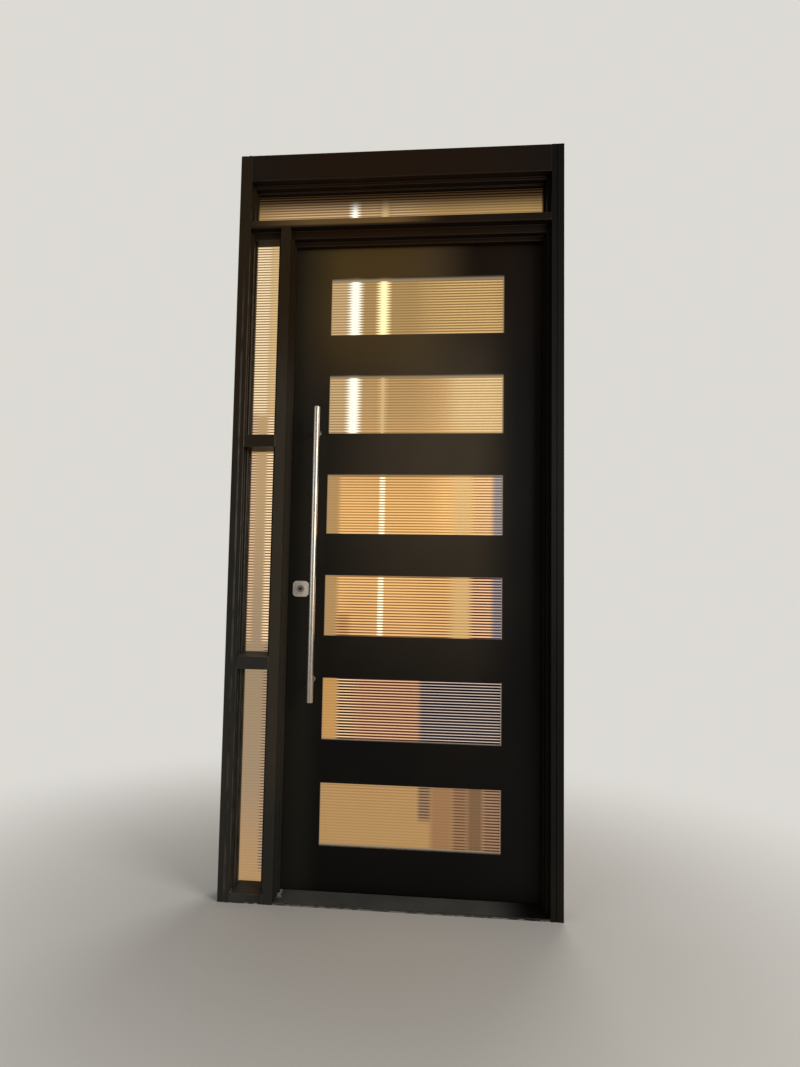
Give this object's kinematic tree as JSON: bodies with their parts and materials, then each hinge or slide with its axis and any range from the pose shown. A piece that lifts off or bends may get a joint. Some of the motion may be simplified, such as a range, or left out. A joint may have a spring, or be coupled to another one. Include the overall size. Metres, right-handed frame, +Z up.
{
  "type": "glazed entrance door with frame",
  "caption": "Black timber entrance door with six reeded glass panes and a long steel pull handle, in a frame with a glazed side light and transom light; the leaf swings inwards.",
  "frame": {"origin": "on the floor, in the middle of the frame's width and depth", "axes": "+X to the right as seen from outside, +Y into the house, +Z up"},
  "size_m": [1.153, 0.1393, 2.66],
  "materials": {
    "black_paint": "satin black paint on timber",
    "sill_paint": "worn dark grey paint on timber",
    "reeded_glass": "reeded glass lit warm from behind",
    "seal_rubber": "matt black weather strip",
    "pull_steel": "brushed stainless steel",
    "lock_satin": "satin chrome",
    "hardware_steel": "satin stainless steel"
  },
  "bodies": {
    "frame": {"jamb_left": "black_paint", "jamb_right": "black_paint", "mullion": "black_paint", "head": "black_paint", "transom_bar": "black_paint", "side_rail_lower": "black_paint", "side_rail_upper": "black_paint", "side_sill": "sill_paint", "door_sill": "sill_paint", "transom_glass": "reeded_glass", "transom_beads": "black_paint", "seal_lock_side": "seal_rubber", "seal_hinge_side": "seal_rubber", "seal_head": "seal_rubber", "strike_plate": "hardware_steel", "strike_screws": "hardware_steel", "hinge_pins": "hardware_steel", "hinge_frame_screws": "hardware_steel", "side_glass_lower": "reeded_glass", "side_glass_middle": "reeded_glass", "side_glass_upper": "reeded_glass", "side_beads_lower": "black_paint", "side_beads_middle": "black_paint", "side_beads_upper": "black_paint", "hinge_frame_plate_1": "hardware_steel", "hinge_frame_plate_2": "hardware_steel", "hinge_frame_plate_3": "hardware_steel", "hinge_frame_plate_4": "hardware_steel"},
    "leaf": {"leaf": "black_paint", "bottom_seal": "seal_rubber", "pull_bar": "pull_steel", "pull_end_caps": "pull_steel", "pull_posts": "pull_steel", "pull_bolts": "pull_steel", "cylinder_rose": "lock_satin", "cylinder_housing": "lock_satin", "bolt_case": "hardware_steel", "turn_plate": "lock_satin", "lock_screws": "hardware_steel", "hinge_leaf_screws": "hardware_steel", "leaf_glass_1": "reeded_glass", "leaf_glass_2": "reeded_glass", "leaf_glass_3": "reeded_glass", "leaf_glass_4": "reeded_glass", "leaf_glass_5": "reeded_glass", "leaf_glass_6": "reeded_glass", "leaf_beads_1": "black_paint", "leaf_beads_2": "black_paint", "leaf_beads_3": "black_paint", "leaf_beads_4": "black_paint", "leaf_beads_5": "black_paint", "leaf_beads_6": "black_paint", "hinge_leaf_plate_1": "hardware_steel", "hinge_leaf_plate_2": "hardware_steel", "hinge_leaf_plate_3": "hardware_steel", "hinge_leaf_plate_4": "hardware_steel"},
    "dead_bolt": {"dead_bolt": "lock_satin"},
    "thumb_turn": {"thumb_turn": "lock_satin"},
    "key_plug": {"key_plug": "lock_satin"}
  },
  "joints": [
    {"name": "leaf_swing", "type": "hinge", "parent": "frame", "child": "leaf", "pos_m": [0.5355, 0.062, 1.19], "axis": [0, 0, -1], "range_deg": [0, 110]},
    {"name": "turn", "type": "hinge", "parent": "leaf", "child": "thumb_turn", "pos_m": [-0.326, 0.055, 1.078], "axis": [0, 1, 0], "range_deg": [0, 90]},
    {"name": "bolt_slide", "type": "slide", "parent": "leaf", "child": "dead_bolt", "axis": [-1, 0, 0], "range_m": [0, 0.02]},
    {"name": "key_turn", "type": "hinge", "parent": "leaf", "child": "key_plug", "pos_m": [-0.326, 0.015, 1.078], "axis": [0, 1, 0], "range_deg": [0, 90]}
  ],
  "couplings": [
    {"joint": "turn", "follows": "bolt_slide", "rad_per_m": 78.53},
    {"joint": "key_turn", "follows": "bolt_slide", "rad_per_m": 78.53}
  ]
}
